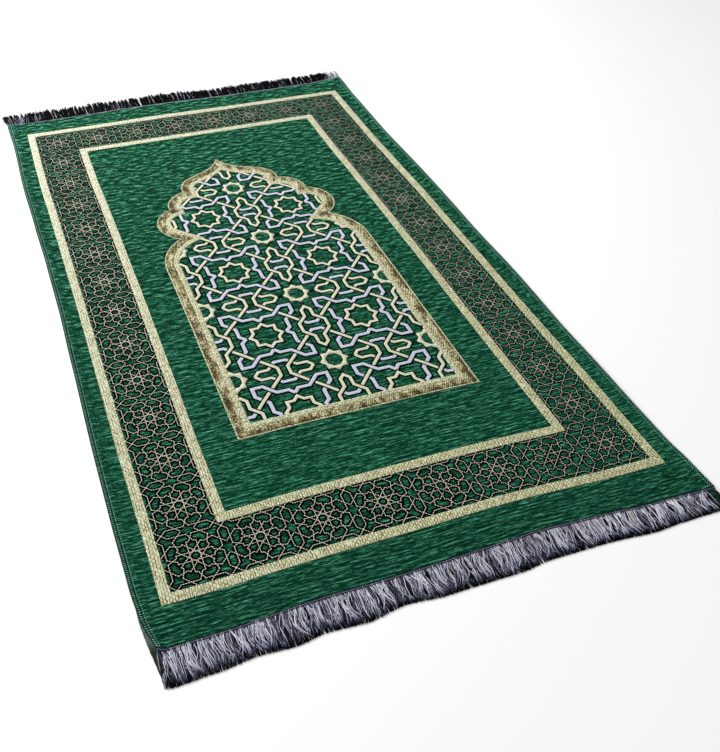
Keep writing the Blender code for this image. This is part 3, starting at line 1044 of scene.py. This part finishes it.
def inside_by(spots):
    """How far points lie inside the niche's inner edge; negative outside it.

    The distance to a closed line is the least over its stretches, and a point is inside if a ray from
    it crosses the line an odd number of times.
    """
    spots = spots.reshape(-1, 2)
    start, stop = NICHE_EDGE[:-1], NICHE_EDGE[1:]
    way = stop - start
    best = np.empty(len(spots))
    odd = np.empty(len(spots), bool)
    for some in np.array_split(np.arange(len(spots)), max(1, len(spots) // AT_ONCE)):
        off = spots[some, None] - start
        share = np.clip(np.sum(off * way, -1) / np.sum(way * way, -1).clip(1e-12), 0, 1)
        best[some] = np.min(np.linalg.norm(off - share[..., None] * way, axis=-1), axis=1)
        y = spots[some, 1][:, None]
        spans = (start[:, 1] <= y) != (stop[:, 1] <= y)
        rise = np.where(way[:, 1] == 0, 1.0, way[:, 1])
        beyond = start[:, 0] + (y - start[:, 1]) / rise * way[:, 0] > spots[some, 0][:, None]
        odd[some] = np.sum(spans & beyond, axis=1) % 2 == 1
    return np.where(odd, best, -best)


def pressed(inside):
    """Share of its height that a point keeps: 1 inside the niche, 0 well under the band."""
    return smooth((inside + PRESSED) / PRESSED)


def interlaced(charted, profile, sink, closed=False):
    """Strips of one charted path, laid at every repeat and cut to the niche."""
    fine = finer(np.asarray(charted, float), FINE_STEP)
    strips = []
    for centre in STAR_PLACES:
        path = centre + fine[:, :2] * HALF_STAR / UNITS
        inside = inside_by(path)
        kept = inside > -UNDER_BAND
        if not kept.any():
            continue
        height = (LOW + (HIGH - LOW) * fine[:, 2] - sink) * pressed(inside)
        grid, run = ribbon(path, profile, height, closed)
        for some in np.split(np.arange(len(path)), np.flatnonzero(np.diff(kept.astype(int))) + 1):
            if kept[some[0]] and len(some) > 1:
                strips.append((grid[:, some], run[:, some]))
    return strips


print(len(STAR_PLACES), "repeats")

# %% Ribbons of the interlace
RIBBONS = {"cream": 4.5 * MM, "lilac": 5.1 * MM}
OUTLINE = 2.3 * MM               # black on each side of a ribbon
THIN_LINE = 2.0 * MM

upright_bottle = np.array(BOTTLE + [(x, 2 * UNITS - y, level) for x, y, level in BOTTLE[-2::-1]], float)
upright_bottle = np.concatenate([upright_bottle, (upright_bottle * (-1, 1, 1))[::-1][1:]])
large_star = np.column_stack((star_line(LARGE_STAR) + UNITS, np.full(17, 0.6)))
layers = {"cream": [], "lilac": [], "outlines": []}


def add_ribbon(colour, path, closed=False):
    """One ribbon with its black outline, at every repeat."""
    width = RIBBONS[colour]
    outline = np.array([(-0.5, -0.6), (-0.47, 0.0), (0.47, 0.0), (0.5, -0.6)]) * (width + 2 * OUTLINE, MM)
    layers[colour] += interlaced(path, crowned(width, 0.18 * MM), 0.0, closed)
    layers["outlines"] += interlaced(path, outline, 0.05 * MM, closed)


add_ribbon("cream", upright_bottle, closed=True)
add_ribbon("cream", large_star, closed=True)
for colour, chart in (("cream", CREAM_CHART), ("lilac", LILAC_CHART)):
    for path in chart.values():
        for image in mirrors(path):
            add_ribbon(colour, image)
thin_profile = np.array([(-0.5, -0.1), (-0.4, 0.1), (0.4, 0.1), (0.5, -0.1)]) * (THIN_LINE, MM)
for path in THIN_CHART:
    for image in mirrors(path):
        layers["outlines"] += interlaced(image, thin_profile, 0.12 * MM)
for layer, finish, slot in (("cream", CREAM, "cream_yarn"), ("lilac", LILAC, "lilac_yarn"),
                            ("outlines", BLACK, "black_yarn")):
    woven_strips(f"interlace_{layer}", layers[layer], finish)

# %% [markdown]
# The small stars are filled with cream round an open octagon. Each is a ring lofted from the star's
# outline to the octagon's, and it lies on a slightly larger black one.

# %% Small stars
STAR_HOLE = 10.2                 # from the octagon's middle to every other corner
SMALL_STARS = (                  # name, margin in chart units, height, skirt in mm, finish, slot
    ("small_stars", 0.0, 0.55, 0.6, CREAM, "cream_yarn"),
    ("small_star_outlines", 1.1, 0.35, 0.45, BLACK, "black_yarn"),
)


def star_rings(outer, inner, height, skirt):
    """Rings from a star's outline to an octagon's, at every repeat inside the niche."""
    radii = inner / np.where(np.arange(17) % 2 == 0, 1.0, math.cos(math.pi / 8))
    octagon = np.column_stack((radii * np.cos(STAR_ANGLES), radii * np.sin(STAR_ANGLES)))
    star = star_line(outer)
    shares = np.array([0.0, 0.02, 0.5, 0.98, 1.0])
    heights = height + np.array([-skirt, 0.0, 0.15 * MM, 0.0, -skirt])
    flat = star[:, None] + (octagon - star)[:, None] * shares[:, None]
    run = np.stack(np.broadcast_arrays(STAR_ANGLES[:, None] * 20 * MM, shares * 6 * MM), -1)[None]
    strips = []
    for centre in STAR_PLACES:
        spots = centre + flat * HALF_STAR / UNITS
        inside = inside_by(spots).reshape(spots.shape[:2])
        if inside.max() > 0:
            strips.append((on_rug(spots[..., 0], spots[..., 1], heights * pressed(inside))[None], run))
    return strips


for name, margin, height, skirt, finish, slot in SMALL_STARS:
    rings = star_rings(SMALL_STAR + margin, STAR_HOLE - margin, height * MM, skirt * MM)
    woven_strips(name, rings, finish)

# %% [markdown]
# ## The fringe
#
# The fringe is the rug's own warp: fine lilac and black ends, cut to one length. Each strand is a
# three-sided tube. Strands set out evenly from the cloth's end, are drawn together into clumps, and each
# clump leans and bends its own way. A strand's path is a sum of such moves, each a simple function of how
# far along the strand a point is, so thousands of strands are worked out at once. The draws come from
# a seeded generator, so that they are the same each time.

# %% Paths of the strands
FRINGE_LENGTH = np.array([       # columns x, foot, head: lengths past the cloth's end, in millimetres
    (-335, 42, 45), (-280, 40, 46), (-240, 37, 48), (-195, 40.5, 45), (-165, 37.5, 50), (-120, 40.5, 47),
    (-75, 34.5, 48), (-30, 38.5, 50), (60, 39, 41), (105, 36, 41), (165, 34.5, 42), (225, 36, 40),
    (265, 33, 40), (300, 31.5, 40), (335, 31, 43)]) * MM
STRAND_POINTS = 9
ROOT_HEIGHT = 2.7 * MM           # height of the highest roots over the cloth's underside
LOWEST = 0.35 * MM               # no strand's middle line comes nearer to the floor
CORNER_FROM = 305 * MM           # strands that start further out lean out at the corners
FALL = 0.45                      # share of its length in which a strand comes down to its bed


def strand_paths(rng, count, end, rise, clump, pull, splay, bend, stray, lengths, ragged, fan=0.0,
                 gather=0.75, curl=0.5, roots=(0.35, 1.0), droop=0.45, corners=(-1.0, 3.0)):
    """Middle lines of strands from one end of the cloth (-1 foot, 1 head), shaped (count, points, 3).

    A strand moves sideways by its clump's pull, lean, bend (a half sine) and curl (a growing sine),
    by a fan that changes slowly along the end, and by its own stray. At both corners it leans out.
    It falls from the cloth's end to its place in the pile. rise, clump, splay, bend, stray, fan, curl
    and corners are in millimetres, and the rest are shares.
    """
    start = rng.uniform(-0.5, 0.5, count) * (CLOTH_WIDTH - 1.5 * MM)
    share = np.linspace(0, 1, STRAND_POINTS)
    clumps = round(CLOTH_WIDTH / (clump * MM))
    number = (start / CLOTH_WIDTH + 0.5) * clumps + rng.normal(0, 0.15, count)
    number = np.clip(number.astype(int), 0, clumps - 1)
    middle = ((np.arange(clumps) + rng.uniform(0.25, 0.75, clumps)) / clumps - 0.5) * CLOTH_WIDTH
    lean = rng.normal(0, splay, clumps)[number] * MM
    lean += fan * MM * np.sin(start * 170 + 1.7 * np.sin(start * 47))
    lean += np.where(start < 0, *corners) * MM * smooth((np.abs(start) - CORNER_FROM) / (30 * MM))
    bow = rng.normal(0, bend, clumps)[number] * MM + rng.normal(0, 0.35 * bend, count) * MM
    stray_by = rng.normal(0, stray, count) * MM
    size, turns, phase = rng.uniform((0.4, 0.7, 0), (1.6, 1.6, 1), (clumps, 3))[number].T[..., None]
    wave = curl * size * MM * np.sin(2 * np.pi * (share * turns + phase)) * share
    aside = (pull * (middle[number] - start))[:, None] * smooth(share / gather) + wave
    aside += (lean + stray_by)[:, None] * share**1.2 + bow[:, None] * np.sin(np.pi * share)
    length = eased(FRINGE_LENGTH, 1 if end < 0 else 2, start) * rng.uniform(*lengths, count)
    length *= 1 - ragged * rng.random(clumps)[number]
    x, y = lay(start, np.full(count, end * CLOTH_LENGTH / 2))
    root = lift(start, end * CLOTH_LENGTH / 2) + rng.uniform(*roots, count) * ROOT_HEIGHT
    bed = rng.uniform(0.15, 1.0, count) * rise * MM
    height = bed[:, None] * (1 - droop * share) + (root - bed)[:, None] * smooth(1 - share / FALL)
    return np.stack([x[:, None] + aside, y[:, None] + end * length[:, None] * share,
                     np.maximum(LOWEST, height)], axis=-1)


print("fringe, mm long at most:", round(FRINGE_LENGTH[:, 1:].max() / MM))

# %% [markdown]
# A strand's shade is kept as a tone at each of its points, so one finish serves thousands of strands. It
# is bright at the root and dull at the tip. Whole locks are brighter or duller than their neighbours too.

# %% Strands and their finishes
LOCK_WIDTH = 1.9 * MM
LOCK_TONES = 512                 # different tones of locks


def fringe_piece(name, material, seed, end, count, radius, keep=None, blunt=0.1, bright=1.0, tilt=0.0,
                 **look):
    """One colour of one fringe; keep gives each strand's chance of being kept, from its points' x.

    The tone falls as the fourth power of the way along a strand. It differs from strand to strand and
    from lock to lock, and it can grow to the right by a given share: painted light that evens out the
    lamp, which lights the left end more.
    """
    rng = np.random.default_rng(seed)
    paths = strand_paths(rng, count, end, **look)
    if keep is not None:
        paths = paths[rng.random(count) < keep(paths[..., 0])]
    taper = np.array([1.0] * (STRAND_POINTS - 2) + [0.95, blunt])
    radii = radius * MM * rng.uniform(0.75, 1.15, (len(paths), 1)) * taper
    fade = 1 - 0.8 * np.linspace(0, 1, STRAND_POINTS)[:, None] ** 4
    lock = np.floor(paths[:, 0, 0] / LOCK_WIDTH).astype(int) % LOCK_TONES
    own = smooth(0.75 * rng.random(len(paths)) + 0.25 * rng.random(LOCK_TONES)[lock])
    own = (0.12 + 0.88 * own) * (1 + tilt * paths[:, 0, 0])
    tubing = tubes(paths, radii, sides=3)
    tones = np.broadcast_to(bright * fade * own[:, None, None], tubing.shape[:3])
    return woven_piece(name, [tubing], material, tones=[tones])


def strand_finish(name, *stops):
    """A shade for each strand, worn a little along it."""
    made = Finish(name, 0.85, gloss=0.04)
    wear = made.noise(made.place((520, 120, 300)))
    shade = made.times(made.tone(), 0.75, made.times(wear, 0.25))
    return made.finish(made.ramp(shade, *stops), wear, 0.15 * MM)


PALE_STRAND = strand_finish("pale_strand_yarn", (0.12, 14, 14, 18), (0.38, 94, 96, 118),
                            (0.59, 220, 222, 246), (0.82, 254, 254, 255))
DARK_STRAND = strand_finish("dark_strand_yarn", (0.1, 2, 2, 4), (0.4, 10, 9, 14), (0.95, 58, 56, 70))
print("made the strands' finishes")

# %% [markdown]
# At the foot, straight dark ends lie beneath and reach the full length. Pale ones lie over them in
# crossing clumps, and loose curls lie on top. At the head mostly dark ends show, and pale ones come
# through in patches and at both ends.

# %% The two fringes
def pale_at_head(paths_x):
    """At the head pale strands show in a few places, and mostly at both ends of the fringe."""
    x = paths_x[:, 0]
    patches = smooth(np.sin(x * 61 + 0.8) * np.sin(x * 23 + 2.0) * 1.6)
    return np.clip(0.09 + 0.24 * patches + smooth((np.abs(x) - 296 * MM) / (22 * MM)), 0, 1)


def dark_at_head(paths_x):
    """The far right end of the head fringe is nearly all pale."""
    return 1 - 0.9 * smooth((paths_x[:, 0] - 308 * MM) / (10 * MM))


def pale_at_foot(paths_x):
    """At the foot pale strands lie over all but the right end, and none strays past the left one."""
    at_right = smooth((paths_x[:, 0] - 321 * MM) / (6 * MM))
    past_left = smooth((-paths_x.min(axis=1) - 324 * MM) / (3 * MM))
    return 1 - at_right - past_left


# At the foot the pale strands' tone grows brighter to the right: painted light against the lamp on the
# left.
AT_FOOT = {"corners": (3.0, 7.0), "tilt": 0.35, "keep": pale_at_foot}
AT_HEAD = {"clump": 3.7, "fan": 1.0, "droop": 0.0, "corners": (-8.0, 5.0)}
fringe_piece("fringe_foot_dark", DARK_STRAND, 12, -1, 3000, 0.42, rise=1.5, clump=14, pull=0.0, splay=0.3,
             bend=0.3, stray=2.0, lengths=(0.975, 1.0), ragged=0.01, roots=(0.1, 0.5), blunt=0.7)
foot_pale = fringe_piece("fringe_foot_pale", PALE_STRAND, 11, -1, 1000, 0.38, rise=3.0, clump=4.6,
                         pull=0.45, splay=3.2, bend=2.2, stray=1.2, lengths=(0.93, 1.02), ragged=0.07,
                         fan=5.0, gather=0.45, curl=2.4, **AT_FOOT)
fringe_piece("fringe_foot_curls", PALE_STRAND, 15, -1, 800, 0.34, rise=4.4, clump=9, pull=0.1, splay=4.5,
             bend=3.2, stray=2.8, lengths=(0.75, 1.0), ragged=0.08, curl=2.0, **AT_FOOT)
# bright=0.4 paints shade on the head's dark strands, to offset the lamp's grazing light there.
fringe_piece("fringe_head_dark", DARK_STRAND, 14, 1, 4000, 0.52, rise=6.0, pull=0.3, splay=1.5, bend=0.9,
             stray=1.1, lengths=(0.80, 1.02), ragged=0.13, blunt=0.2, bright=0.4, keep=dark_at_head,
             **AT_HEAD)
head_pale = fringe_piece("fringe_head_pale", PALE_STRAND, 13, 1, 1800, 0.26, rise=6.2, pull=0.45,
                         splay=2.0, bend=1.2, stray=1.2, lengths=(0.4, 0.97), ragged=0.15, bright=0.7,
                         keep=pale_at_head, **AT_HEAD)
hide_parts("fringe_foot")
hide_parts("fringe_head")

# %% [markdown]
# ## The headings, the turned corners and the back
#
# Between the cloth and each fringe runs a narrow heading of lock stitches, dark violet with lilac
# threads at the foot and paler at the head. It is one more ribbon, on a path that sways with the rims.

# %% Headings
HEADING_WIDTH = 2.8 * MM
HEADING_POINTS = 240


def heading_finish(name, *stops):
    """Threads that run along it, darker between them."""
    made = Finish(name, 0.75, sheen=0.1)
    along, across = made.way()
    threads = made.ribs(across, 1.7 * MM, 1.2)
    twist = made.ribs(made.math("ADD", along, across), 1.6 * MM)
    shade = made.times(threads, 0.75, made.times(twist, 0.25))
    return made.finish(made.ramp(shade, *stops), shade, 0.4 * MM)


FOOT_HEADING = heading_finish("foot_heading_yarn", (0.40, 14, 12, 30), (0.68, 56, 54, 84),
                              (0.95, 170, 170, 202))
HEAD_HEADING = heading_finish("head_heading_yarn", (0.40, 120, 120, 140), (0.8, 208, 208, 226))
for name, end, finish in (("heading_foot", -1, FOOT_HEADING), ("heading_head", 1, HEAD_HEADING)):
    across = np.linspace(-CLOTH_WIDTH / 2 + 1 * MM, CLOTH_WIDTH / 2 - 1 * MM, HEADING_POINTS)
    middle = end * (CLOTH_LENGTH / 2 + HEADING_WIDTH / 2 - 0.3 * MM)
    path = np.column_stack((across, np.full(HEADING_POINTS, middle)))
    strip = ribbon(path, crowned(HEADING_WIDTH, 0.5 * MM, 1.0 * MM), above=0.7 * MM, cut=True)
    woven_strips(name, [strip], finish)

# %% [markdown]
# At the foot's left corner the hem has rolled in, so that the grey green back of its turning shows as a
# thin strip beside it, dark where it lies among the fringe. At the right corner the turning's loose end
# sticks out past the cloth. Both are short strips between two lines of a table. The back is a coarse
# sheet that closes the cloth from below.

# %% Turned corners and back
STRIP = np.array([               # y, inner x, outer x, height, in millimetres
    (-512, -330.5, -332.6, 0.5), (-530, -329.5, -333.0, 0.8), (-540, -328.5, -332.8, 1.1),
    (-550, -327.0, -331.9, 1.3), (-560, -325.0, -330.9, 1.5), (-570, -323.0, -329.8, 1.6),
    (-580, -324.5, -328.3, 1.5), (-590, -325.2, -327.0, 1.3), (-602, -324.4, -325.4, 1.0)]) * MM
TAB = np.array([
    (-566, 328.0, 336.6, 2.0), (-574, 327.6, 337.4, 1.9), (-580, 327.2, 336.6, 1.7),
    (-586, 326.8, 335.2, 1.5), (-590, 326.6, 333.4, 1.3), (-594, 326.4, 329.0, 1.1)]) * MM
FLAP_ROWS = 40
BACK_PITCH = 9 * MM


def grey_back():
    """A fine weave of two greys, darkened by the tone."""
    made = Finish("grey_back", 0.9)
    weave = made.noise(made.place((500, 900, 500)), 2.0)
    grey = made.ramp(weave, (0.35, 46, 62, 54), (0.65, 106, 120, 112))
    return made.finish(made.mix(made.times(made.tone(), 0.85), grey, linear(10, 20, 16)), weave, 0.2 * MM)


def flap(name, table, material, dark_from):
    """A thin strip between two lines of a table, eased from row to row, closed below.

    Its tone darkens from a given place on, towards the foot.
    """
    at = np.linspace(table[0, 0], table[-1, 0], FLAP_ROWS)
    inner, outer, height = [eased(table[::-1], column, at)[:, None] for column in (1, 2, 3)]
    shares = np.array([0.0, 0.5, 0.92, 1.0, 1.0, 0.5, 0.0])
    drops = np.array([0.0, 0.0, 0.15, 0.5, 0.9, 0.9, 0.9]) * MM
    x = inner + (outer - inner) * shares
    z = np.maximum(0.02 * MM, height - drops)
    grid = np.stack([x, np.broadcast_to(at[:, None], x.shape), z], axis=-1)
    tone = np.tile(smooth((dark_from - at) / (14 * MM))[:, None], grid.shape[1])
    woven_piece(name, [grid[None]], material, tones=[tone])


BACK = grey_back()
flap("turned_strip", STRIP, BACK, -560 * MM)
flap("hem_tab", TAB, GREEN, 0.0)
back_u, back_v = np.meshgrid(spread(CLOTH_WIDTH, (0.0, EDGE_ROUND), BACK_PITCH),
                             spread(CLOTH_LENGTH, (0.0, EDGE_ROUND), BACK_PITCH))
back = np.stack([*lay(back_u, back_v), lift(back_u, back_v)], axis=-1)
woven_piece("cloth_back", [back[::-1][None]], BACK)
